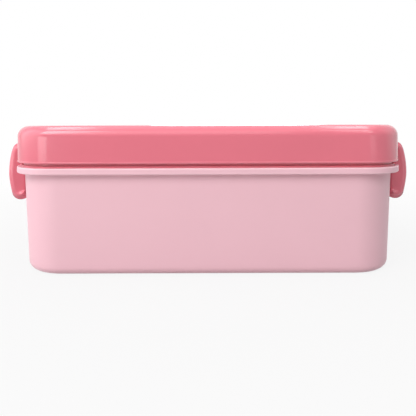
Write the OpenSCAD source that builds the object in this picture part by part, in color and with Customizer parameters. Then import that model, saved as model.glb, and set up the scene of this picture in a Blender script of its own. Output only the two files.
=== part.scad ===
// Bento lunch box with a deep lid that is held down by a swinging latch on each short end.
// Millimetres. Long side along X, front towards -Y, standing on z = 0 with the origin at the middle of its base.

/* [Container] */
// Length of the container's rim flange
flange_l = 190; // [150:1:240]
// Depth of the rim flange, front to back
flange_d = 106; // [88:1:140]
// Corner radius of the rim flange, seen from above
flange_r = 22; // [18:0.5:30]
// Height of the container up to its mouth
container_h = 50.5; // [40:0.5:70]
// Height of the flange's edge
flange_h = 3; // [2:0.1:4]
// How far the flange stands out from the top of the wall
flange_reach = 2.4; // [2.2:0.1:4]
// Corner radius of the wall at its top, seen from above
wall_r = 23.2; // [17:0.1:30]
// Lean of the container's walls in degrees
wall_draft = 2.5; // [1:0.1:4]
// Thickness of the container's wall
wall_t = 1.8; // [1.4:0.1:2.4]
// Thickness of the container's floor
floor_t = 2; // [1.6:0.1:3]
// Radius of the container's outer lower edge
base_edge_r = 4; // [1:0.1:4]
// Radius between floor and wall inside the container
inner_edge_r = 4; // [2:0.1:8]
// Depth of the hollow under the floor
foot_h = 0.6; // [0.4:0.1:1]
// Width of the foot rim, from the sharp lower edge inwards
foot_w = 8; // [4:0.5:12]

/* [Lid] */
// Height of the lid's outer wall
lid_h = 17.6; // [14.5:0.1:24]
// Gap that shows between the flange and the lid's lower edge
lid_gap = 2; // [1.2:0.1:3]
// How far the lid's outer wall stands in from the flange's edge
lid_inset = 0.35; // [0:0.05:1]
// Thickness of the lid's walls and top
lid_t = 1.8; // [1.4:0.1:2.4]
// Radius of the lid's outer top edge
lid_edge_r = 5.2; // [3:0.1:8]
// Radius of the lid's outer lower edge
lid_lip_r = 0.5; // [0.3:0.1:0.8]
// How far the bead round the lid's lower edge stands out from its wall
lid_bead = 0.2; // [0.1:0.05:0.3]
// Height of that bead
lid_bead_h = 1; // [0.8:0.1:1.4]
// How far the recessed skirt stands in from the flange's edge
skirt_inset = 3; // [2.4:0.1:4]
// How far the skirt's foot stands out from it, over the flange
skirt_foot = 1.1; // [0.6:0.1:1.4]
// Height of that foot
skirt_foot_h = 0.9; // [0.5:0.1:1.1]
// Depth of the plug that enters the container's mouth
plug_h = 5; // [4:0.1:8]
// Thickness of the plug
plug_t = 2.2; // [2:0.1:3]
// Gap between the plug's lower end and the container's wall
plug_clear = 0.4; // [0.3:0.05:0.8]

/* [Gasket] */
// Height of the gasket and its groove
groove_h = 2.4; // [1.8:0.1:3]
// Depth of the gasket's groove in the plug
groove_d = 1; // [0.8:0.1:1.4]
// Distance from the plug's lower end to the groove
groove_rise = 1.2; // [1:0.1:2]
// Height of the sealing face on the gasket's lip
lip_h = 0.6; // [0.3:0.1:1]
// Gap left between the gasket's lip and the container's wall
lip_clear = 0.06; // [0.02:0.01:0.2]

/* [Latches] */
// Width of a latch
latch_w = 60; // [40:1:64]
// Distance from the hinge axis down to the centre of the latch's lower curl
latch_drop = 21.6; // [17.6:0.2:26]
// Height of the hinge axis above the lid's lower edge
hinge_rise = 5; // [3.4:0.1:6]
// How far the hinge axis stands out from the flange's edge
hinge_out = 2.6; // [1.6:0.1:3]
// How far the centre of the curl stands out from the flange's edge
curl_out = 2.3; // [1.2:0.1:2.8]
// Outer radius of the latch's rounded top
ear_r = 3.8; // [3.4:0.1:4.6]
// Outer radius of the latch's lower curl
curl_r = 4.2; // [3.5:0.1:5.2]
// Radius of the latch's bulging outer face, seen from the front
bulge_r = 50; // [40:1:80]
// How far the end of the curl stays off the container's wall
curl_clear = 2; // [1:0.1:3]
// Corner radius of the latch's lower corners, seen from the side
latch_low_r = 5; // [3:0.5:8]
// Corner radius of the latch's upper corners, seen from the side
latch_top_r = 2.5; // [1:0.5:3]
// Thickness of the latch's plate at its two ends
latch_t = 2.8; // [2.2:0.1:3.4]
// Thickness of the latch's plate between its ends
panel_t = 1.8; // [1.4:0.1:2.2]
// Width of the thicker band at each end of the latch
end_band = 5.4; // [5:0.1:8]
// Thickness of the cheek that closes each end of the latch and carries its hinge pin
cheek_t = 3.4; // [2.8:0.1:4.5]
// Gap between the cheeks and the flange's edge
cheek_clear = 0.5; // [0.35:0.05:0.8]
// How far the claw reaches under the flange
claw_grip = 1.1; // [0.8:0.1:1.3]
// Gap between the claw and the flange's underside
claw_gap = 0.4; // [0.3:0.05:0.6]
// Height of the claw where it joins the plate
claw_h = 3.4; // [2.6:0.1:5]
// Slope cut off the claw's tip
claw_slope = 0.5; // [0.3:0.1:0.8]
// Width of the claw
claw_w = 36; // [24:1:38]

/* [Hinges] */
// Radius of the hinge pins
pin_r = 1.25; // [1:0.05:1.4]
// Length of each hinge pin
pin_len = 2.6; // [2:0.1:4]
// Radial clearance between a hinge pin and its bore
pin_clear = 0.05; // [0.02:0.01:0.1]
// Radius of the lid's hinge barrel
barrel_r = 2.4; // [2.2:0.05:2.6]
// Clearance between the latch and the barrel that it swings round
swing_clear = 0.3; // [0.25:0.05:0.4]
// Clearance between the latch and the pocket around it
pocket_clear = 0.4; // [0.3:0.05:0.8]
// Height of the web that carries the barrel
web_h = 2; // [1.4:0.1:2.4]
// Angle above the level up to which the plate wraps the barrel
wrap_angle = 60; // [30:1:60]

/* [Divider] */
// Where the divider stands, measured from the middle
divider_x = 20; // [-20:1:40]
// Thickness of the divider's plate
divider_t = 1.4; // [1:0.1:2]
// Width of the divider's foot and side rims
divider_rim_w = 8; // [6:0.5:12]
// Thickness of the divider's foot and side rims
divider_rim_t = 1.2; // [0.8:0.1:1.6]
// Gap between the divider and the container
divider_clear = 0.3; // [0.25:0.05:0.6]
// Distance from the lid's plug down to the divider's top
divider_drop = 1; // [0.6:0.1:10]
// Height of the bead along the divider's top
bead_h = 2; // [1.5:0.1:3]
// Thickness of that bead
bead_t = 2.6; // [2:0.1:4]

/* [Hidden] */
$fn = 96;
// Overshoot of the cuts, so that no cut ends on a face
over = 1;
flange_edge_r = 0.5;
container_pink = [0.96, 0.78, 0.82];
coral = [0.86, 0.42, 0.48];
silicone_white = [0.93, 0.92, 0.90];

// Corner centres, seen from above: the flange, the lid and its skirt share the first,
// and the container's wall, the plug and the gasket share the second
rim_c = [flange_l / 2 - flange_r, flange_d / 2 - flange_r];
wall_c = [flange_l / 2 - flange_reach - wall_r, flange_d / 2 - flange_reach - wall_r];

// The wall's radius at z = 0, outside and inside, as if its lower edges were sharp
lean = tan(wall_draft);
flange_z = container_h - flange_h;
outer_r0 = wall_r - flange_z * lean;
inner_r0 = outer_r0 - wall_t;

lid_z = container_h + lid_gap;
total_h = lid_z + lid_h;
lid_r = flange_r - lid_inset;
skirt_r = flange_r - skirt_inset;
shelf_z = lid_z + lid_t;
plug_z = container_h - plug_h;
plug_r = inner_r0 + plug_z * lean - plug_clear;

groove_r = plug_r - groove_d;
groove_z = plug_z + groove_rise;
lip_z = groove_z + (groove_h - lip_h) / 2;
lip_r = inner_r0 + lip_z * lean - lip_clear;

hinge = [flange_l / 2 + hinge_out, lid_z + hinge_rise];
curl = [flange_l / 2 + curl_out, hinge.y - latch_drop];
bulge = arc_centre(hinge, bulge_r - ear_r, curl, bulge_r - curl_r);
latch_top = hinge.y + ear_r;
latch_low = curl.y - curl_r;
// The curl ends short of the wall, whose outer face is furthest out at the curl's upper side
curl_end = wall_c.x + outer_r0 + curl.y * lean + curl_clear;

pocket_x = flange_l / 2 - skirt_inset;
pocket_w = latch_w + 2 * pocket_clear;
pocket_top = latch_top + pocket_clear;
barrel_l = latch_w - 2 * cheek_t - 2 * pocket_clear;

// Unit vector from a to b
function toward(a, b) = (b - a) / norm(b - a);

// Centre of the arc that lies at distance ra from a and rb from b, on the side of less x; b is below a
function arc_centre(a, ra, b, rb) =
    let (d = norm(b - a), u = toward(a, b), along = (d * d + ra * ra - rb * rb) / (2 * d))
        a + along * u + sqrt(ra * ra - along * along) * [u.y, -u.x];

// Sweeps a section round a rounded rectangle; the section's x runs outwards from the corner centre
module around(centres) {
    for (quarter = [0 : 3]) {
        even = quarter % 2 == 0;
        near = even ? centres.x : centres.y;
        far = even ? centres.y : centres.x;
        rotate(90 * quarter)
            translate([near, far, 0]) {
                rotate_extrude(angle = 90)
                    children();
                rotate([90, 0, 0])
                    linear_extrude(2 * far)
                        children();
            }
    }
}

// The same sweep, filled in between its corner centres from z0 to z1
module block(centres, z0, z1) {
    around(centres)
        children();
    translate([-centres.x, -centres.y, z0])
        cube([2 * centres.x, 2 * centres.y, z1 - z0]);
}

// Section whose side leans outwards from x0 at z = 0, cut off at z0 and z1, with a round lower edge
module leaning(x0, z0, z1, edge_r) {
    cz = z0 + edge_r;
    cx = x0 + cz * lean - edge_r / cos(wall_draft);
    foot = [cx + edge_r * cos(wall_draft), cz - edge_r * sin(wall_draft)];
    polygon([[0, z0], [cx, z0], foot, [x0 + z1 * lean, z1], [0, z1]]);
    translate([cx, cz])
        circle(edge_r);
}

// Upright section with a round upper and a round lower edge
module upright(x1, z0, z1, top_r, low_r) {
    translate([0, z0])
        square([x1 - low_r, z1 - top_r - z0]);
    translate([0, z0 + low_r])
        square([x1, z1 - top_r - z0 - low_r]);
    translate([0, z0 + low_r])
        square([x1 - top_r, z1 - z0 - low_r]);
    translate([x1 - top_r, z1 - top_r])
        circle(top_r);
    translate([x1 - low_r, z0 + low_r])
        circle(low_r);
}

// Rectangle of width w, centred in x, from z0 to z1, with round upper and lower corners
module tab(w, z0, z1, top_r, low_r) {
    for (side = [0, 1])
        mirror([side, 0])
            upright(w / 2, z0, z1, top_r, low_r);
}

// Extrudes a section drawn in Y and Z from x0 to x1
module along_x(x0, x1) {
    translate([x0, 0, 0])
        rotate([90, 0, 90])
            linear_extrude(x1 - x0)
                children();
}

// Extrudes a section drawn in X and Z from y0 to y1
module along_y(y0, y1) {
    translate([0, y1, 0])
        rotate([90, 0, 0])
            linear_extrude(y1 - y0)
                children();
}

module container() {
    color(container_pink)
        difference() {
            union() {
                block(wall_c, 0, container_h)
                    leaning(outer_r0, 0, container_h, base_edge_r);
                block(rim_c, flange_z, container_h)
                    upright(flange_r, flange_z, container_h, flange_edge_r, flange_edge_r);
            }
            block(wall_c, floor_t, container_h + over)
                leaning(inner_r0, floor_t, container_h + over, inner_edge_r);
            block(wall_c, -over, foot_h)
                translate([0, -over])
                    square([outer_r0 - foot_w, foot_h + over]);
        }
}

// Everything that the lid fills on the outside: wall and top, skirt on the flange, plug in the mouth
module lid_outside() {
    block(rim_c, lid_z, total_h)
        upright(lid_r, lid_z, total_h, lid_edge_r, lid_lip_r);
    block(rim_c, lid_z, lid_z + lid_bead_h)
        upright(lid_r + lid_bead, lid_z, lid_z + lid_bead_h, lid_bead, lid_lip_r);
    block(rim_c, container_h, shelf_z)
        translate([0, container_h])
            square([skirt_r, shelf_z - container_h]);
    block(rim_c, container_h, container_h + skirt_foot_h)
        translate([0, container_h])
            square([skirt_r + skirt_foot, skirt_foot_h]);
    block(wall_c, plug_z, shelf_z)
        translate([0, plug_z])
            square([plug_r, shelf_z - plug_z]);
}

module lid_inside() {
    ceiling = total_h - lid_t;
    block(rim_c, shelf_z, ceiling)
        upright(lid_r - lid_t, shelf_z, ceiling, lid_edge_r - lid_t, lid_lip_r);
    block(wall_c, plug_z - over, shelf_z + over)
        translate([0, plug_z - over])
            square([plug_r - plug_t, shelf_z - plug_z + 2 * over]);
}

// The barrel that a latch swings on, with a blind bore in each end, and the web that carries it
module hinge_barrel() {
    bore_r = pin_r + pin_clear;
    difference() {
        union() {
            along_y(-barrel_l / 2, barrel_l / 2)
                translate(hinge)
                    circle(barrel_r);
            along_y(-barrel_l / 2, barrel_l / 2)
                translate([pocket_x - lid_t / 2, hinge.y - swing_clear - web_h])
                    square([hinge.x - pocket_x + lid_t / 2, web_h]);
        }
        for (side = [0, 1])
            mirror([0, side, 0])
                along_y(barrel_l / 2 - pin_len, barrel_l / 2 + over)
                    translate(hinge)
                        circle(bore_r);
    }
}

module lid() {
    color(coral)
        union() {
            difference() {
                union() {
                    difference() {
                        lid_outside();
                        lid_inside();
                    }
                    for (end = [0, 1])
                        mirror([end, 0, 0])
                            along_x(pocket_x - lid_t, flange_l / 2 - lid_inset - lid_t / 2)
                                tab(pocket_w + 2 * lid_t, lid_z, pocket_top + lid_t, pocket_clear + lid_t, lid_lip_r);
                }
                for (end = [0, 1])
                    mirror([end, 0, 0])
                        along_x(pocket_x, hinge.x + ear_r)
                            tab(pocket_w, lid_z - over, pocket_top, pocket_clear, over / 2);
                around(wall_c)
                    translate([groove_r, groove_z])
                        square([groove_d + over, groove_h]);
            }
            for (end = [0, 1])
                mirror([end, 0, 0])
                    hinge_barrel();
        }
}

module lid_gasket() {
    color(silicone_white)
        around(wall_c) {
            translate([groove_r, groove_z])
                square([groove_d, groove_h]);
            polygon([
                [plug_r, groove_z],
                [lip_r, lip_z],
                [lip_r, lip_z + lip_h],
                [plug_r, groove_z + groove_h]
            ]);
        }
}

// The part of a disc about the bulge's centre that lies between hinge and curl
module bulge_slice(r) {
    reach = 4 * ear_r;
    intersection() {
        translate(bulge)
            circle(r);
        polygon([
            hinge,
            hinge + reach * toward(bulge, hinge),
            curl + reach * toward(bulge, curl),
            curl
        ]);
    }
}

module latch_outline() {
    translate(hinge)
        circle(ear_r);
    translate(curl)
        circle(curl_r);
    bulge_slice(bulge_r);
}

// The latch's plate and lower curl with thickness t, open towards the container
module latch_plate(t) {
    curl_floor = curl.y - curl_r + t;
    far_in = curl_end - 2 * curl_r;
    difference() {
        latch_outline();
        bulge_slice(bulge_r - t);
        translate(curl)
            circle(curl_r - t);
        polygon([
            [hinge.x, latch_top + over],
            hinge,
            curl,
            [curl.x, curl_floor],
            [far_in, curl_floor],
            [far_in, latch_top + over]
        ]);
        translate([far_in, latch_low - over])
            square([curl_end - far_in, 2 * curl_r]);
    }
}

// The plate where it passes the barrel: it wraps the barrel only up to wrap_angle
module latch_wrap(t) {
    room_r = barrel_r + swing_clear;
    far = 3 * ear_r;
    difference() {
        latch_plate(t);
        translate(hinge)
            circle(room_r);
        polygon([
            hinge,
            hinge + far * [cos(wrap_angle), sin(wrap_angle)],
            hinge + far * [-1, 1]
        ]);
    }
}

// The cheek fills the outline and reaches in as far as the flange, and below the flange as far as the curl
module latch_cheek() {
    edge_x = flange_l / 2 + cheek_clear;
    under_z = flange_z - claw_gap;
    far_in = curl_end - curl_r;
    difference() {
        union() {
            latch_outline();
            polygon([
                hinge,
                [edge_x, hinge.y - ear_r / 2],
                [edge_x, under_z],
                [curl_end, under_z - (edge_x - curl_end)],
                [curl_end, curl.y],
                curl
            ]);
        }
        translate([far_in, latch_low - over])
            square([curl_r, 2 * curl_r]);
    }
}

module latch_claw() {
    top = flange_z - claw_gap;
    tip = flange_l / 2 - claw_grip;
    root = bulge.x + bulge_r - panel_t / 2;
    polygon([
        [root, top],
        [tip + claw_slope, top],
        [tip, top - claw_slope],
        [tip, top - claw_h / 2],
        [root, top - claw_h]
    ]);
}

module latch() {
    half = latch_w / 2;
    color(coral)
        union() {
            intersection() {
                union() {
                    along_y(-half + cheek_t, half - cheek_t)
                        latch_wrap(panel_t);
                    for (side = [0, 1])
                        mirror([0, side, 0]) {
                            along_y(half - end_band, half - cheek_t)
                                latch_wrap(latch_t);
                            along_y(half - cheek_t, half)
                                latch_cheek();
                        }
                }
                along_x(curl_end - over, hinge.x + 2 * ear_r)
                    tab(latch_w, latch_low, latch_top, latch_top_r, latch_low_r);
            }
            along_y(-claw_w / 2, claw_w / 2)
                latch_claw();
            for (side = [0, 1])
                mirror([0, side, 0])
                    along_y(half - cheek_t - pin_len, half - cheek_t / 2)
                        translate(hinge)
                            circle(pin_r);
        }
}

module latch_right() {
    latch();
}

module latch_left() {
    mirror([1, 0, 0])
        latch();
}

// The container's inner cross-section, drawn in Y and Z, shrunk by gap on its sides and floor
module bay(gap, z1) {
    for (side = [0, 1])
        mirror([side, 0])
            leaning(wall_c.y + inner_r0 - gap, floor_t + gap, z1, inner_edge_r - gap);
}

module divider() {
    top = plug_z - divider_drop;
    rim_gap = divider_clear + divider_rim_t;
    color(container_pink)
        translate([divider_x, 0, 0]) {
            along_x(-divider_t / 2, divider_t / 2)
                bay(divider_clear, top);
            along_x(-bead_t / 2, bead_t / 2)
                intersection() {
                    bay(divider_clear, top);
                    translate([-flange_d / 2, top - bead_h])
                        square([flange_d, bead_h]);
                }
            along_x(-divider_rim_w / 2, divider_rim_w / 2)
                difference() {
                    bay(divider_clear, top);
                    bay(rim_gap, top + over);
                }
        }
}

container();
lid();
lid_gasket();
latch_left();
latch_right();
divider();
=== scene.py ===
import math

import bmesh
import bpy
import numpy as np
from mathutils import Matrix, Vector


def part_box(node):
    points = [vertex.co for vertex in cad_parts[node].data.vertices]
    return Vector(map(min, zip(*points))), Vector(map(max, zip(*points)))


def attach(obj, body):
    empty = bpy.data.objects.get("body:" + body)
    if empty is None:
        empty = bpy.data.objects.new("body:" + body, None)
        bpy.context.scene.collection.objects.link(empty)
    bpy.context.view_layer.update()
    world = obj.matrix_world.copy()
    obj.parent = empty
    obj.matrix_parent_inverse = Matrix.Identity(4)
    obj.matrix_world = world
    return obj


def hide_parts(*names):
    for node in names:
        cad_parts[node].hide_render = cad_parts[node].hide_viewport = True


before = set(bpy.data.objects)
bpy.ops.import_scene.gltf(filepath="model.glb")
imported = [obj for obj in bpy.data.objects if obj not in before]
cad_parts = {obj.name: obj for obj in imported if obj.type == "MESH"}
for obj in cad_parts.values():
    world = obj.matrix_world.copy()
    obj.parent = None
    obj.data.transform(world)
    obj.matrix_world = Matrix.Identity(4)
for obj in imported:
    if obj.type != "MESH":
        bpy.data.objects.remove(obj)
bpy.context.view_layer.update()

# ---- Container -------------------------------------------------------------------------------------------
# The bowl is one injection moulding in pale pink polypropylene with a satin face. Its walls lean outwards for
# the mould, a flange runs round its mouth, and a hollow under its floor leaves a foot rim to stand on.

MM = 0.001
flange_half = np.array(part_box("container")[1][:2]) / MM
mouth_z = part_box("container")[1][2] / MM
flange_h = 3.0
flange_edge_r = 0.5
rim_bend = 22.0
wall_inset = 2.4
wall_corner_r = 23.2
wall_bend = wall_inset + wall_corner_r
wall_t = 1.8
lean = math.tan(math.radians(2.5))
floor_z = 2.0
foot_z = 0.6
foot_w = 8.0
foot_edge_r = 0.2
wall_root_r = 0.3
base_edge_r = 4.0
floor_edge_r = 4.0
weld_gap = 0.002
sliver = 0.001
guard_share = 0.4
worn_below_r = 1.0


def rounded(corners, steps=6, guards=True):
    """The line through rows (x, z, bend, radius), each inner corner replaced by an arc of its radius, with a
    guard point just before and after it that keeps the flats flat. An arc's points are its centre plus the
    two end spokes mixed by sines. Returns columns x, z, bend and a mark that is 1 on the small arcs."""
    corners = np.array(corners, float)
    rows = [[*corners[0, :3], 0.0]]
    for before, here, after in zip(corners[:-2], corners[1:-1], corners[2:]):
        radius = here[3]
        back, ahead = before[:2] - here[:2], after[:2] - here[:2]
        back_run, ahead_run = np.linalg.norm(back), np.linalg.norm(ahead)
        back, ahead = back / back_run, ahead / ahead_run
        half_angle = math.acos(np.clip(back @ ahead, -1, 1)) / 2
        run = radius / math.tan(half_angle)
        guard = guard_share * radius
        centre = here[:2] + (back + ahead) / np.linalg.norm(back + ahead) * radius / math.sin(half_angle)
        first, last = here[:2] + back * run - centre, here[:2] + ahead * run - centre
        sweep = math.pi - 2 * half_angle
        share = np.linspace(0, 1, steps + 1)[:, None]
        arc = centre + (np.sin((1 - share) * sweep) * first + np.sin(share * sweep) * last) / math.sin(sweep)
        worn = 1.0 if radius < worn_below_r else 0.0
        if guards and back_run > run + 2 * guard:
            rows.append([*(here[:2] + back * (run + guard)), here[2], 0.0])
        rows += [[x, z, here[2], worn] for x, z in arc]
        if guards and ahead_run > run + 2 * guard:
            rows.append([*(here[:2] + ahead * (run + guard)), here[2], 0.0])
    rows.append([*corners[-1, :3], 0.0])
    return np.array(rows).T


CORNER_STEPS, END_STEPS, SIDE_STEPS = 36, 8, 14


def stations(end_slides, side_slides):
    """Places round a rounded rectangle, anticlockwise from the right-hand end. Each is a pull, the share of
    the way to the corner centres that it hangs from, and an outward direction. On a straight stretch the
    direction stays and the pull slides; round a corner the pull stays and the direction turns."""
    pulls, outs = [], []
    for quarter, slides in enumerate([end_slides, side_slides, end_slides, side_slides]):
        turn = quarter * math.pi / 2
        ahead = np.array([math.cos(turn), math.sin(turn)])
        along = np.array([-math.sin(turn), math.cos(turn)])
        angles = turn + np.linspace(0, math.pi / 2, CORNER_STEPS + 1)
        pulls.append(ahead + np.outer(slides, along))
        outs.append(np.tile(ahead, (len(slides), 1)))
        pulls.append(np.tile(ahead + along, (CORNER_STEPS + 1, 1)))
        outs.append(np.stack([np.cos(angles), np.sin(angles)], axis=1))
    return np.concatenate(pulls), np.concatenate(outs)


def swept(places, inset, z, bend):
    """Carries a profile round the flange's outline. A point inset from the flange's edge lies on the rounded
    rectangle whose half sizes are the flange's less the inset, and whose corner radius is bend less inset."""
    pull, out = places
    if inset.ndim == 1:
        inset = np.tile(inset[:, None], len(pull))
    radius = np.maximum(bend[:, None] - inset, 0)[..., None]
    half = np.maximum(flange_half - inset[..., None], 0)
    plan = pull * (half - radius) + out * radius
    height = np.broadcast_to(z[:, None, None], (*inset.shape, 1))
    return np.concatenate([plan, height], axis=2)


def quads(rows, columns, first=0, close_rows=False):
    """Faces of a grid whose columns close into rings, and whose rows close too where close_rows is set."""
    index = first + np.arange(rows * columns).reshape(rows, columns)
    if close_rows:
        index = np.vstack([index, index[:1]])
    beside = np.roll(index, -1, axis=1)
    return np.stack([index[:-1], beside[:-1], beside[1:], index[1:]], axis=2).reshape(-1, 4).tolist()


def piece(name, parts, material, body, slot, *nodes):
    """One object from parts, each a grid of points in millimetres with its wear marks and faces. Doubles are
    merged, faces turned outwards, and normals weighted by area so that flats stay flat beside small edges."""
    points = np.concatenate([part[0].reshape(-1, 3) for part in parts]) * MM
    marks = np.concatenate([part[1].reshape(-1) for part in parts])
    faces, first = [], 0
    for grid, _, local in parts:
        faces += [[first + corner for corner in face] for face in local]
        first += grid.size // 3
    mesh = bpy.data.meshes.new(name)
    mesh.from_pydata(points.tolist(), [], faces)
    mesh.attributes.new("wear", "FLOAT", "POINT").data.foreach_set("value", marks.astype(np.float32))
    shape = bmesh.new()
    shape.from_mesh(mesh)
    bmesh.ops.remove_doubles(shape, verts=shape.verts, dist=weld_gap * MM)
    bmesh.ops.dissolve_degenerate(shape, edges=shape.edges, dist=sliver * MM)
    bmesh.ops.recalc_face_normals(shape, faces=shape.faces)
    shape.to_mesh(mesh)
    shape.free()
    mesh.shade_smooth()
    mesh.materials.append(material)
    made = bpy.data.objects.new(name, mesh)
    bpy.context.scene.collection.objects.link(made)
    made.modifiers.new("even_shading", "WEIGHTED_NORMAL").keep_sharp = True
    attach(made, body)
    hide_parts(*nodes)


class Wire:
    """One output in a material's tree. Sums and products of wires and numbers add Math nodes."""

    def __init__(self, tree, socket=None):
        self.tree = tree
        self.socket = socket

    def node(self, kind, settings, sockets, output=0):
        """Adds a node of this kind, sets its settings, then fills its sockets with numbers or wires."""
        made = self.tree.nodes.new("ShaderNode" + kind)
        for name, value in settings.items():
            setattr(made, name, value)
        for name, value in sockets.items():
            if isinstance(value, Wire):
                self.tree.links.new(value.socket, made.inputs[name])
            else:
                made.inputs[name].default_value = value
        return Wire(self.tree, made.outputs[output]) if made.outputs else None

    def math(self, operation, first, second):
        """A Math node of this operation on two wires or numbers."""
        return self.node("Math", {"operation": operation}, {0: first, 1: second})

    def __add__(self, other):
        return self.math("ADD", self, other)

    def __sub__(self, other):
        return self.math("SUBTRACT", self, other)

    def __rsub__(self, other):
        return self.math("SUBTRACT", other, self)

    def __mul__(self, other):
        return self.math("MULTIPLY", self, other)

    __radd__ = __add__
    __rmul__ = __mul__


drift_scale, smear_scale, speckle_scale = 28.0, 75.0, 900.0
edge_paling, paling_patches = 0.35, 0.8
smear_depth, speckle_depth, edge_dulling = 0.06, 0.05, 0.05


def plastic(name, colour, worn_colour, roughness, mottle, grain, grain_depth, specular=0.5):
    """Moulded plastic: its colour drifts a little over centimetres between a deeper and a paler mix, handling
    has paled and dulled the small edges in patches, and a fine grain from the mould roughens the face."""
    material = bpy.data.materials.new(name)
    material.use_nodes = True
    tree = material.node_tree
    tree.nodes.clear()
    wire = Wire(tree)
    place = wire.node("TexCoord", {}, {}, output="Object")
    drift = wire.node("TexNoise", {}, {"Vector": place, "Scale": drift_scale, "Detail": 3.0})
    speckle = wire.node("TexNoise", {}, {"Vector": place, "Scale": speckle_scale, "Detail": 2.0}) - 0.5
    smear = wire.node("TexNoise", {}, {"Vector": place, "Scale": smear_scale, "Detail": 4.0}) - 0.5
    wear = wire.node("Attribute", {"attribute_name": "wear"}, {}, output="Fac")
    paled = wear * (edge_paling + smear * paling_patches)
    deeper = [channel * (1 - mottle) for channel in colour[:3]] + [1]
    paler = [min(channel * (1 + mottle), 1) for channel in colour[:3]] + [1]
    tint = wire.node("Mix", {"data_type": "RGBA"}, {"Factor": drift, 6: deeper, 7: paler}, output=2)
    base = wire.node("Mix", {"data_type": "RGBA"}, {"Factor": paled, 6: tint, 7: worn_colour}, output=2)
    rough = roughness + smear * smear_depth + speckle * speckle_depth + wear * edge_dulling
    height = wire.node("TexNoise", {}, {"Vector": place, "Scale": grain, "Detail": 3.0})
    bump = wire.node("Bump", {}, {"Height": height, "Strength": 1.0, "Distance": grain_depth * MM})
    shader = wire.node("BsdfPrincipled", {}, {
        "Base Color": base, "Roughness": rough, "Normal": bump, "IOR": 1.49, "Specular IOR Level": specular})
    wire.node("OutputMaterial", {}, {"Surface": shader})
    return material


container_pink = plastic("container_pink", [0.845, 0.512, 0.576, 1], [0.92, 0.65, 0.70, 1],
                         roughness=0.42, mottle=0.02, grain=1600.0, grain_depth=0.006)

under_flange_z = mouth_z - flange_h
outer_inset_0 = wall_inset + under_flange_z * lean
inner_inset_0 = outer_inset_0 + wall_t
middle = flange_half[1]
profile = rounded([
    (middle, foot_z, wall_bend, 0),
    (outer_inset_0 + foot_w, foot_z, wall_bend, foot_edge_r),
    (outer_inset_0 + foot_w, 0, wall_bend, foot_edge_r),
    (outer_inset_0, 0, wall_bend, base_edge_r),
    (wall_inset, under_flange_z, wall_bend, wall_root_r),
    (0, under_flange_z, rim_bend, flange_edge_r),
    (0, mouth_z, rim_bend, flange_edge_r),
    (inner_inset_0 - mouth_z * lean, mouth_z, wall_bend, wall_root_r),
    (inner_inset_0 - floor_z * lean, floor_z, wall_bend, floor_edge_r),
    (middle, floor_z, wall_bend, 0)])
side_slides = np.linspace(-1, 1, SIDE_STEPS + 1)[1:-1]
plain_places = stations(np.linspace(-1, 1, END_STEPS + 1)[1:-1], side_slides)


def ring_part(places, profile, close_rows=False):
    """A whole swept profile as one part: its points, its wear marks and its faces."""
    inset, z, bend, marks = profile
    grid = swept(places, inset, z, bend)
    wear = np.broadcast_to(marks[:, None], grid.shape[:2])
    return grid, wear, quads(*grid.shape[:2], close_rows=close_rows)


piece("container_bowl", [ring_part(plain_places, profile)], container_pink,
      "container", "container", "container")

# ---- Lid -------------------------------------------------------------------------------------------------
# The deep lid is one moulding in polished coral plastic, with a bead along the lower edge of its wall. Inside
# that a recessed skirt sits on the flange and a plug with the gasket's groove goes into the mouth, and each
# end has a pocket with a barrel for its latch.

lid_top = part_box("lid")[1][2] / MM
lid_inset = 0.35
lid_bead = 0.2
lid_bead_h = 1.0
lid_t = 1.8
lid_gap = 2.0
lid_z = mouth_z + lid_gap
lid_edge_r = 5.2
lid_lip_r = 0.5
bead_root_r = 0.04
bead_edge_r = 0.15
skirt_inset = 3.0
skirt_foot = 1.1
skirt_foot_h = 0.9
skirt_foot_r = 0.25
seat_r = 0.12
root_r = 0.2
plug_clear = 0.4
plug_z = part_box("lid")[0][2] / MM
plug_inset = inner_inset_0 - plug_z * lean + plug_clear
plug_t = 2.2
plug_edge_r = 0.35
inside_r = 0.4
shelf_z = lid_z + lid_t
groove_d = 1.0
groove_r = 0.1
groove_low, groove_high = (corner[2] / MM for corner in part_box("lid_gasket"))
barrel_r = 2.4
swing_clear = 0.3
web_h = 2.0
hinge_out = 2.6
hinge_rise = 5.0
hinge_x = flange_half[0] + hinge_out
hinge_z = lid_z + hinge_rise
ear_r = 3.8
cheek_t = 3.4
pocket_clear = 0.4
latch_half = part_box("latch_right")[1][1] / MM
pocket_half_w = latch_half + pocket_clear
pocket_top = hinge_z + ear_r + pocket_clear
pocket_edge_r = 0.35
pocket_root_r = 0.3
seam = 0.1
wall_seam_z = pocket_top + 1.0
lip_seam_z = lid_z + 1.5
foot_seam_z = mouth_z + skirt_foot_h + 0.4
inner_seam_z = pocket_top + lid_t + 1.0

coral = plastic("coral", [0.745, 0.165, 0.22, 1], [0.85, 0.30, 0.36, 1],
                roughness=0.17, mottle=0.03, grain=420.0, grain_depth=0.004)

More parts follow.
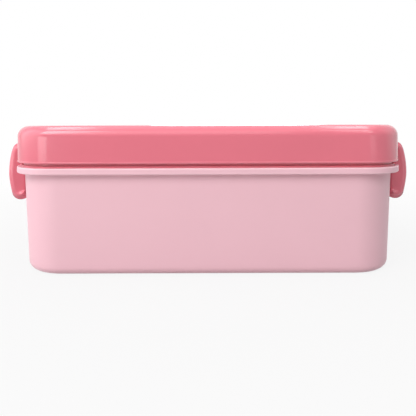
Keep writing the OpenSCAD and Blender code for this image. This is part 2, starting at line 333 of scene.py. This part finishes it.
# The profile runs outwards over the top, down the outside, round the plug and back to the middle of the
# ceiling, in five stretches. Only two of them, the pocket's lintel and its lip, change round the lid.
crown = rounded([
    (middle, lid_top, rim_bend, 0),
    (lid_inset, lid_top, rim_bend, lid_edge_r),
    (lid_inset, wall_seam_z, rim_bend, 0)], steps=14)
lintel = rounded([
    (lid_inset, wall_seam_z - seam, rim_bend, 0),
    (lid_inset, pocket_top, rim_bend, pocket_edge_r),
    (skirt_inset, pocket_top, rim_bend, pocket_root_r),
    (skirt_inset, lip_seam_z, rim_bend, 0)])
lip = rounded([
    (lid_inset, lip_seam_z - seam, rim_bend, 0),
    (lid_inset, lid_z + lid_bead_h, rim_bend, bead_root_r),
    (lid_inset - lid_bead, lid_z + lid_bead_h, rim_bend, bead_edge_r),
    (lid_inset - lid_bead, lid_z, rim_bend, lid_lip_r),
    (skirt_inset, lid_z, rim_bend, root_r),
    (skirt_inset, foot_seam_z, rim_bend, 0)])
plug = rounded([
    (skirt_inset, foot_seam_z - seam / 2, rim_bend, 0),
    (skirt_inset, mouth_z + skirt_foot_h, rim_bend, root_r),
    (skirt_inset - skirt_foot, mouth_z + skirt_foot_h, rim_bend, skirt_foot_r),
    (skirt_inset - skirt_foot, mouth_z, rim_bend, seat_r),
    (plug_inset, mouth_z, wall_bend, root_r),
    (plug_inset, groove_high, wall_bend, groove_r),
    (plug_inset + groove_d, groove_high, wall_bend, groove_r),
    (plug_inset + groove_d, groove_low, wall_bend, groove_r),
    (plug_inset, groove_low, wall_bend, groove_r),
    (plug_inset, plug_z, wall_bend, plug_edge_r),
    (plug_inset + plug_t, plug_z, wall_bend, plug_edge_r),
    (plug_inset + plug_t, shelf_z, wall_bend, inside_r),
    (lid_inset + lid_t, shelf_z, rim_bend, inside_r),
    (lid_inset + lid_t, inner_seam_z, rim_bend, 0)])
ceiling = rounded([
    (lid_inset + lid_t, inner_seam_z + seam, rim_bend, 0),
    (lid_inset + lid_t, lid_top - lid_t, rim_bend, lid_edge_r - lid_t),
    (middle, lid_top - lid_t, rim_bend, 0)], steps=10)
inset, z, bend, marks = np.concatenate([crown, lintel, lip, plug, ceiling], axis=1)
lintel_end = crown.shape[1] + lintel.shape[1]
lintel_rows = slice(crown.shape[1], lintel_end)
lip_rows = slice(lintel_end, lintel_end + lip.shape[1])

# The pocket's plan across an end gives each place round the lid its open share, which is 0 on the plain wall
# and 1 in the pocket.
pocket_depth = skirt_inset - lid_inset
jamb_reach = 0.6
jamb = rounded([
    (0, pocket_depth, 0, 0),
    (pocket_half_w, pocket_depth, 0, pocket_root_r),
    (pocket_half_w, 0, 0, pocket_edge_r),
    (pocket_half_w + jamb_reach, 0, 0, 0)])
rim_centre_y = flange_half[1] - rim_bend
jamb_y, jamb_depth = jamb[0][1:-1], jamb[1][1:-1]
slides = np.concatenate([-jamb_y[::-1], [0], jamb_y]) / rim_centre_y
end_open = np.concatenate([jamb_depth[::-1], [pocket_depth], jamb_depth]) / pocket_depth
lid_places = stations(slides, side_slides)
open_share = np.zeros(len(lid_places[0]))
half_turn = len(slides) + len(side_slides) + 2 * (CORNER_STEPS + 1)
open_share[:len(slides)] = end_open
open_share[half_turn:half_turn + len(slides)] = end_open
lip_base = np.minimum.accumulate(inset[lip_rows])[:, None]
lid_insets = np.tile(inset[:, None], len(open_share))
lid_insets[lintel_rows] = np.minimum(inset[lintel_rows, None], lid_inset + open_share * pocket_depth)
lid_insets[lip_rows] = np.maximum(inset[lip_rows, None], lip_base + open_share * (skirt_inset - lip_base))
grid = swept(lid_places, lid_insets, z, bend)
wear = np.tile(marks[:, None], grid.shape[1])
wear[lintel_rows] *= open_share
lid_shell = (grid, wear, quads(*grid.shape[:2]))


def arc(centre, radius, start, end, count):
    """Points on a circle from one angle to another, in degrees, as rows (x, z): the centre plus the radius
    times the angle's cosine and sine."""
    angles = np.radians(np.linspace(start, end, count))
    return np.array(centre) + radius * np.stack([np.cos(angles), np.sin(angles)], axis=1)


def outward(outline):
    """Unit normals of a closed outline: the chord between its neighbours, turned by a quarter, and flipped
    if the outline runs clockwise."""
    chord = np.roll(outline, -1, axis=0) - np.roll(outline, 1, axis=0)
    normal = np.stack([chord[:, 1], -chord[:, 0]], axis=1)
    normal /= np.linalg.norm(normal, axis=1)[:, None]
    beside = np.roll(outline, -1, axis=0)
    area = np.sum(outline[:, 0] * beside[:, 1] - beside[:, 0] * outline[:, 1])
    return normal if area > 0 else -normal


def loft(outlines, y, wear):
    """A part through outlines of equal length, each at its own y, which may vary along it, with both ends
    capped by one face."""
    rows, columns = outlines.shape[:2]
    places = np.broadcast_to(np.reshape(y, (rows, -1, 1)), (rows, columns, 1))
    grid = np.concatenate([outlines[..., :1], places, outlines[..., 1:]], axis=2)
    faces = quads(rows, columns)
    faces += [list(range(columns)), list(range((rows - 1) * columns, rows * columns))]
    return grid, wear, faces


def bar(outline, half_length, edge, steps=4):
    """An outline carried along y to both sides of the middle; over the last edge its points draw in along
    their normals by a quarter circle, so that the ends are round."""
    turn = np.linspace(0, math.pi / 2, steps + 1)
    y = half_length - edge + edge * np.sin(turn)
    draw = edge * (1 - np.cos(turn))
    y, draw = np.concatenate([-y[::-1], y]), np.concatenate([draw[::-1], draw])
    outlines = outline[None] - outward(outline)[None] * draw[:, None, None]
    marks = np.broadcast_to((draw > 0)[:, None], outlines.shape[:2]) * 1.0
    return loft(outlines, y, marks)


def mirrored(part):
    """The same part on the other end of the box: x changes its sign."""
    grid, wear, faces = part
    return grid * [-1, 1, 1], wear, faces


web_high = hinge_z - swing_clear
web_low = web_high - web_h
web_root = 0.9
web_in = flange_half[0] - skirt_inset - web_root
web_start = 187
web_sag, web_run = 0.1, 0.6
edge_round = 0.2
barrel_count = 40
barrel_outline = np.concatenate([
    arc((hinge_x, hinge_z), barrel_r, web_start, -90, barrel_count),
    [(hinge_x, web_low - web_sag), (hinge_x - web_run, web_low), (web_in, web_low), (web_in, web_high)]])
barrel = bar(barrel_outline, latch_half - cheek_t - pocket_clear, edge_round)
piece("lid_cover", [lid_shell, barrel, mirrored(barrel)], coral, "lid", "lid", "lid")

# ---- Gasket ----------------------------------------------------------------------------------------------
# A moulded silicone ring in natural white. It is stretched into the groove round the lid's plug, and its lip
# presses on the inside of the container's wall.

silicone = plastic("silicone", [0.80, 0.78, 0.75, 1], [0.86, 0.85, 0.83, 1],
                   roughness=0.5, mottle=0.02, grain=900.0, grain_depth=0.004, specular=0.35)
lip_z = groove_low + (groove_high - groove_low) / 2
lip_clear = 0.06
lip_half_h = 0.3
lip_out = inner_inset_0 - lip_z * lean + lip_clear
gasket_root_r = 0.2
gasket_edge_r = 0.15
gasket_seam = 0.01
gasket_profile = np.array(rounded([
    (plug_inset + groove_d, lip_z, wall_bend, 0),
    (plug_inset + groove_d, groove_low, wall_bend, gasket_root_r),
    (plug_inset, groove_low, wall_bend, gasket_edge_r),
    (lip_out, lip_z - lip_half_h, wall_bend, gasket_edge_r),
    (lip_out, lip_z + lip_half_h, wall_bend, gasket_edge_r),
    (plug_inset, groove_high, wall_bend, gasket_edge_r),
    (plug_inset + groove_d, groove_high, wall_bend, gasket_root_r),
    (plug_inset + groove_d, lip_z + gasket_seam, wall_bend, 0)], steps=4))
piece("gasket_ring", [ring_part(plain_places, gasket_profile, close_rows=True)], silicone,
      "lid", "gasket", "lid_gasket")

# ---- Latches ---------------------------------------------------------------------------------------------
# Each latch is a polished coral moulding: a bulging plate whose lower edge curls in under a finger, cheeks
# with the hinge pins at its ends, a wrap over the lid's barrel, and a claw that hooks under the flange.

hinge = np.array([hinge_x, hinge_z])
curl_out, latch_drop = 2.3, 21.6
curl = np.array([flange_half[0] + curl_out, hinge_z - latch_drop])
curl_r, bulge_r = 4.2, 50.0
latch_t, panel_t = 2.8, 1.8
end_band = 5.4
wall_clear, edge_clear, claw_clear = 2.0, 0.5, 0.4
curl_tip = flange_half[0] - outer_inset_0 + curl[1] * lean + wall_clear
edge_x = flange_half[0] + edge_clear
claw_top = under_flange_z - claw_clear
low_corner_r, top_corner_r = 5.0, 2.5
wrap_r = barrel_r + swing_clear
wrap_top = 60.0
tip_r, tip_steps = 0.12, 4
shelf_back = 0.3
cheek_r = 0.6
cheek_foot = 0.9
foot_low, foot_high = 0.15, 0.8
face_count, curl_count, top_count = 46, 22, 14
curl_inside_count, inner_count, hollow_count, hollow_low_count, wrap_end_count = 12, 39, 35, 10, 5


def angle_of(centre, point):
    """Direction from centre to point in degrees."""
    return math.degrees(math.atan2(point[1] - centre[1], point[0] - centre[0]))


def bulge_centre():
    """Centre of the arc that touches the ear's and the curl's circles from outside: it lies bulge_r less
    ear_r from the one and bulge_r less curl_r from the other, on the box's side."""
    span = np.linalg.norm(curl - hinge)
    ahead = (curl - hinge) / span
    to_hinge, to_curl = bulge_r - ear_r, bulge_r - curl_r
    along = (span**2 + to_hinge**2 - to_curl**2) / (2 * span)
    return hinge + along * ahead + math.sqrt(to_hinge**2 - along**2) * np.array([ahead[1], -ahead[0]])


bulge = bulge_centre()
ear_angle, curl_angle = angle_of(bulge, hinge), angle_of(bulge, curl)


def spread(line, count):
    """Points at even steps along a line of rows (x, z), its first and last ones included."""
    run = np.concatenate([[0], np.cumsum(np.linalg.norm(np.diff(line, axis=0), axis=1))])
    steps = np.linspace(0, run[-1], count)
    return np.stack([np.interp(steps, run, line[:, axis]) for axis in (0, 1)], axis=1)


def section(plate_t, cheek):
    """The latch's outline at one place along its hinge, from the ear down the bulging face, round the curl to
    its tip, back inside it and up the inner face to the hinge. A cheek closes the whole inside as far in as
    the flange's edge; elsewhere the plate passes outside the barrel and ends in the wrap over it."""
    face = arc(bulge, bulge_r, ear_angle, curl_angle, face_count)
    tip_angle = math.degrees(math.acos((curl_tip - curl[0]) / curl_r))
    curl_outside = arc(curl, curl_r, curl_angle, -tip_angle, curl_count)[1:-1]
    shelf = curl[1] - curl_r + plate_t
    tip_low = curl[1] - curl_r * math.sin(math.radians(tip_angle))
    tip = rounded([
        (*curl_outside[-1], 0, 0), (curl_tip, tip_low, 0, tip_r), (curl_tip, shelf, 0, tip_r),
        (curl[0] - shelf_back, shelf, 0, 0)], steps=tip_steps, guards=False)[:2].T[1:]
    curl_inside = arc(curl, curl_r - plate_t, 270, 360 + curl_angle, curl_inside_count)
    ear_turn = 360 - math.degrees(math.acos((edge_x - hinge_x) / ear_r))
    over = arc(hinge, ear_r, wrap_top, ear_angle, top_count)[1:-1]
    if cheek:
        foot = np.linspace([curl_tip, tip_low + foot_low], [curl_tip, tip_low + foot_high], tip_steps + 2)
        tip = np.concatenate([tip[:tip_steps + 1], foot])
        edge = rounded([
            (curl_tip, tip_low + cheek_foot, 0, 0), (curl_tip, claw_top - (edge_x - curl_tip), 0, cheek_r),
            (edge_x, claw_top, 0, cheek_r),
            (*arc(hinge, ear_r, ear_turn, ear_turn, 1)[0], 0, 0)], guards=False)
        inside = spread(edge[:2].T, curl_inside_count + inner_count + hollow_low_count + 1)[:-1]
        ear_count = hollow_count - hollow_low_count + wrap_end_count
        round_ear = arc(hinge, ear_r, ear_turn, wrap_top, ear_count)
    else:
        meet = barrel_meeting(plate_t)
        inner = arc(bulge, bulge_r - plate_t, curl_angle, angle_of(bulge, meet), inner_count + 1)[1:]
        hollow = arc(hinge, wrap_r, angle_of(hinge, meet), wrap_top, hollow_count + 1)[1:]
        inside = np.concatenate([curl_inside, inner, hollow[:hollow_low_count]])
        ear_end = arc(hinge, ear_r, wrap_top, wrap_top, 1)[0]
        thickness = np.linspace(hollow[-1], ear_end, wrap_end_count + 1)[1:]
        round_ear = np.concatenate([hollow[hollow_low_count:], thickness])
    return np.concatenate([face, curl_outside, tip, inside, round_ear, over])


def barrel_meeting(plate_t):
    """Where the plate's inner arc runs into the room round the barrel: the lower of the two points where
    their circles meet, found along the line of centres and then aside from it."""
    inner_r = bulge_r - plate_t
    span = np.linalg.norm(hinge - bulge)
    ahead = (hinge - bulge) / span
    along = (span**2 + inner_r**2 - wrap_r**2) / (2 * span)
    aside = math.sqrt(max(inner_r**2 - along**2, 0))
    return bulge + along * ahead + aside * np.array([ahead[1], -ahead[0]])


cheek_section = section(latch_t, True)
band_section = section(latch_t, False)
panel_section = section(panel_t, False)

rim_w = 2.8
rim_outer_r, rim_inner_r = 2.3, 2.0
rim_wear = 0.5
dish_depth = 2.6
dish_w = 9.0
dish_y = latch_half - dish_depth
dish_steps = 6
crown_z = 42.0
crown_curve = 0.0044
band_lead = 0.6
stop_share, least_room, slope_room = 0.95, 0.01, 4.5
low_fade_from, low_fade = 12.0, 8.0
lift_share, sink_share = 0.3, 0.4
stops = latch_half - np.array([cheek_t, end_band])
end_profile = rounded([
    (0, stops[0], 0, 0), (0, latch_half, 0, rim_outer_r), (rim_w, latch_half, 0, rim_inner_r),
    (dish_w, dish_y, 0, 0)], steps=9, guards=False)[:2].T
dish_slope = np.linspace(end_profile[-2], end_profile[-1], dish_steps + 1)[1:]
end_profile = np.concatenate([end_profile[:-1], dish_slope])
half_rows = [(0, 0.0, panel_section), (0, stops[1] - band_lead, panel_section), (0, stops[1], panel_section),
             (0, stops[1], band_section), (0, stops[0], band_section)]
half_rows += [(draw, y, cheek_section) for draw, y in end_profile]
full_rows = [(draw, -y, outline) for draw, y, outline in half_rows[:0:-1]] + half_rows


def smooth(share):
    """A share from 0 to 1 that starts and ends level: its square times three less twice itself."""
    share = np.clip(share, 0, 1)
    return share**2 * (3 - 2 * share)


def corner_sag(past, radius):
    """How far a rounded corner has fallen at a place along the hinge: a quarter circle's drop, over the last
    radius before the latch's end."""
    run = np.clip(past - latch_half + radius, 0, radius)
    return radius - math.sqrt(radius**2 - run**2)


def latch_body():
    """The sections along the hinge, each bent to the latch's ends. There a point of the outline draws in,
    towards the nearest place on the cheek's inner edge, by the end profile's distance: over a round rim and
    down a shallow slope to that edge. A point with too little room stops short of the edge, and stays at the
    height it stopped at until the rows come down past it. The rim bows out by a parabola in z, and the lower
    edge lifts and the top sinks by quarter circles, which rounds the corners of the side view."""
    outlines, heights, marks = [], [], []
    for draw, y, outline in full_rows:
        inner_x = np.interp(outline[:, 1], [claw_top - (edge_x - curl_tip), claw_top], [curl_tip, edge_x])
        core = np.stack([inner_x, np.clip(outline[:, 1], curl[1], hinge_z)], axis=1)
        room = np.linalg.norm(core - outline, axis=1)
        limit = stop_share * room
        drawn_share = np.minimum(draw, limit) / np.maximum(room, least_room)
        drawn = outline + (core - outline) * drawn_share[:, None]
        stopped_at = np.interp(limit, end_profile[1:, 0], end_profile[1:, 1])
        side = np.where(draw > limit, np.minimum(abs(y), stopped_at), abs(y))
        side = side - np.clip(side - dish_y, 0, dish_depth) * (1 - smooth(room / slope_room))
        end_share = np.clip((side - stops[1]) / end_band, 0, 1)
        height = side - end_share * crown_curve * (drawn[:, 1] - crown_z)**2
        past = latch_half if draw > 0 else abs(y)
        low_share = smooth((curl[1] + low_fade_from - drawn[:, 1]) / low_fade)
        high_share = np.clip((drawn[:, 1] - hinge_z) / ear_r, 0, 1)
        lift = lift_share * corner_sag(past, low_corner_r) * low_share
        sink = sink_share * corner_sag(past, top_corner_r) * high_share
        outlines.append(np.stack([drawn[:, 0], drawn[:, 1] + lift - sink], axis=1))
        heights.append(math.copysign(1, y) * height)
        worn = rim_wear * (draw / rim_w) if draw <= rim_w else 0.0
        marks.append(np.full(len(outline), worn))
    return loft(np.array(outlines), np.array(heights), np.array(marks))


claw_reach, claw_half_w = 1.1, 18.0
claw_t, claw_root_t, claw_nose = 1.7, 3.4, 0.5
claw_root_r, claw_low_r, claw_nose_r = 0.1, 0.2, 0.15
claw_seam = 0.05
claw_tip = flange_half[0] - claw_reach
claw_root = bulge[0] + bulge_r - panel_t / 2
claw_outline = rounded([
    (claw_root, claw_top - claw_t, 0, 0),
    (claw_root, claw_top - claw_root_t, 0, claw_root_r),
    (claw_tip, claw_top - claw_t, 0, claw_low_r),
    (claw_tip, claw_top - claw_nose, 0, claw_nose_r),
    (claw_tip + claw_nose, claw_top, 0, claw_nose_r),
    (claw_root, claw_top, 0, claw_root_r),
    (claw_root, claw_top - claw_t + claw_seam, 0, 0)], steps=3)[:2].T
claw = bar(claw_outline, claw_half_w, edge_round)
pin_r, pin_half_l, pin_back, pin_count = 1.25, 1.9, 0.7, 32
pin = bar(arc(hinge, pin_r, 0, 360, pin_count + 1)[:-1], pin_half_l, edge_round)
pin_y = latch_half - cheek_t - pin_back
pins = [(pin[0] + [0, side * pin_y, 0], pin[1], pin[2]) for side in (-1, 1)]
latch_parts = [latch_body(), claw, *pins]
piece("latch_right_moulding", latch_parts, coral, "latch_right", "latch", "latch_right")
piece("latch_left_moulding", [mirrored(part) for part in latch_parts], coral,
      "latch_left", "latch", "latch_left")

# ---- Divider ---------------------------------------------------------------------------------------------
# A loose partition moulded in the container's plastic. A foot and rims up its sides let it stand between the
# long walls, and it slides along between them.

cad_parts["divider"].data.materials[0] = container_pink

# ---- Studio ----------------------------------------------------------------------------------------------
# A pale floor, a white surround, and soft lamps: low and high ones before both front corners, stronger on
# the left, larger ones at the sides and behind, and wide ones overhead. A level camera looks at the front.


def studio_white(tree, lit_output, lit_shader, white_shader, share):
    """Mixes two shaders so that the camera, mirrors and glass see white and the object is lit by the other
    one: the factor is the share on those rays, and 0 on the rest."""
    wire = Wire(tree)
    camera_ray = wire.node("LightPath", {}, {}, output="Is Camera Ray")
    glossy_ray = wire.node("LightPath", {}, {}, output="Is Glossy Ray")
    through_ray = wire.node("LightPath", {}, {}, output="Is Transmission Ray")
    direct = wire.math("MINIMUM", camera_ray + glossy_ray + through_ray, 1.0)
    mixed = wire.node("MixShader", {}, {0: direct * share, 1: lit_shader, 2: white_shader})
    wire.node(lit_output, {}, {"Surface": mixed})


def fresh_tree(holder):
    """The empty node tree of a new material or world."""
    holder.use_nodes = True
    holder.node_tree.nodes.clear()
    return holder.node_tree


surround = bpy.data.worlds.new("surround")
bpy.context.scene.world = surround
surround_tree = fresh_tree(surround)
surround_wire = Wire(surround_tree)
white = [1, 1, 1, 1]
dim_sky = surround_wire.node("Background", {}, {"Color": white, "Strength": 0.08})
white_sky = surround_wire.node("Background", {}, {"Color": white, "Strength": 1.0})
studio_white(surround_tree, "OutputWorld", dim_sky, white_sky, 1.0)

floor_white = bpy.data.materials.new("floor_white")
floor_tree = fresh_tree(floor_white)
floor_wire = Wire(floor_tree)
spot = floor_wire.node("TexCoord", {}, {}, output="Object")
away = floor_wire.node("VectorMath", {"operation": "LENGTH"}, {0: spot}, output="Value")
share = floor_wire.node("MapRange", {}, {
    "Value": away, "From Min": 0.1, "From Max": 0.35, "To Min": 0.88, "To Max": 1.0})
matte = floor_wire.node("BsdfDiffuse", {}, {"Color": [0.45, 0.45, 0.45, 1]})
glow = floor_wire.node("Emission", {}, {"Color": white, "Strength": 1.0})
studio_white(floor_tree, "OutputMaterial", matte, glow, share)
floor_half = 3.0
floor_corners = [(x * floor_half, y * floor_half, 0) for x, y in ((-1, -1), (1, -1), (1, 1), (-1, 1))]
floor_mesh = bpy.data.meshes.new("floor")
floor_mesh.from_pydata(floor_corners, [], [(0, 1, 2, 3)])
floor_mesh.materials.append(floor_white)
floor = bpy.data.objects.new("floor", floor_mesh)
bpy.context.scene.collection.objects.link(floor)


def softbox(name, place, pitch, turn, width, height, power):
    """A flat lamp at a place in metres. Pitch 90 stands it upright and facing back, pitch 0 hangs it level
    and facing down; turn then swings it round the vertical, in degrees."""
    lamp = bpy.data.lights.new(name, "AREA")
    lamp.shape = "RECTANGLE"
    lamp.size, lamp.size_y = width, height
    lamp.energy = power
    holder = bpy.data.objects.new(name, lamp)
    bpy.context.scene.collection.objects.link(holder)
    holder.location = place
    holder.rotation_euler = (math.radians(pitch), 0, math.radians(turn))


lit_corner = np.array([0.083, -0.05])


def standing(name, azimuth, distance, width, low, high, power):
    """A softbox standing upright at a distance from the lid's front corner on its own side, and facing that
    corner. Azimuth 0 is straight before it, positive is to the right and 180 is behind, and low and high are
    the heights of the softbox's edges."""
    turn = math.radians(azimuth)
    corner = lit_corner * [math.copysign(1, azimuth), 1]
    place = corner + distance * np.array([math.sin(turn), -math.cos(turn)])
    softbox(name, (*place, (low + high) / 2), pitch=90, turn=azimuth, width=width, height=high - low,
            power=power)


front_turn, near = 34.5, 0.6
left_w, right_w = 0.244, 0.16
lamp_foot, low_top, high_top = 0.003, 0.12, 1.04
standing("left_low", -front_turn, near, left_w, low=lamp_foot, high=low_top, power=0.40)
standing("left_high", -front_turn, near, left_w, low=0.40, high=high_top, power=3.7)
standing("left_side", azimuth=-74, distance=1.2, width=1.5, low=lamp_foot, high=1.6, power=12.2)
standing("right_low", front_turn, near, right_w, low=lamp_foot, high=low_top, power=0.06)
standing("right_high", front_turn, near, right_w, low=0.41, high=high_top, power=1.5)
standing("right_side", azimuth=95, distance=0.9, width=0.5, low=lamp_foot, high=0.8, power=0.6)
standing("rear", azimuth=180, distance=1.0, width=0.5, low=lamp_foot, high=1.0, power=3.8)
for name, side in (("left_overhead", -1), ("right_overhead", 1)):
    softbox(name, place=(side * 0.365, 0.08, 0.87), pitch=0, turn=0, width=0.12, height=0.55, power=1.3)
softbox("ceiling", place=(0, 0, 1.5), pitch=0, turn=0, width=2.2, height=2.2, power=10.0)
softbox("front_overhead", place=(-0.45, -1.2, 1.1), pitch=50, turn=0, width=1.6, height=0.9, power=7.6)

image_px = 416
reach_px = 400.0
centre_px = 207.63
horizon_px = 124.0
roll = 3.44e-3
mm_per_px = 0.455
camera_y = -(flange_half[1] + reach_px * mm_per_px)
flange_top_px = 168.38
camera_z = mouth_z + (flange_top_px - horizon_px) * mm_per_px
lens = bpy.data.cameras.new("camera")
lens.sensor_width = 36.0
lens.lens = lens.sensor_width * reach_px / image_px
lens.shift_x = (image_px / 2 - centre_px) / image_px
lens.shift_y = (horizon_px - image_px / 2) / image_px
lens.clip_start = 0.01
camera = bpy.data.objects.new("camera", lens)
camera.location = (0, camera_y * MM, camera_z * MM)
camera.rotation_euler = (math.pi / 2, 0, 0)
camera.rotation_euler.rotate_axis("Z", -roll)
bpy.context.scene.collection.objects.link(camera)
bpy.context.scene.camera = camera
bpy.context.scene.view_settings.view_transform = "Standard"
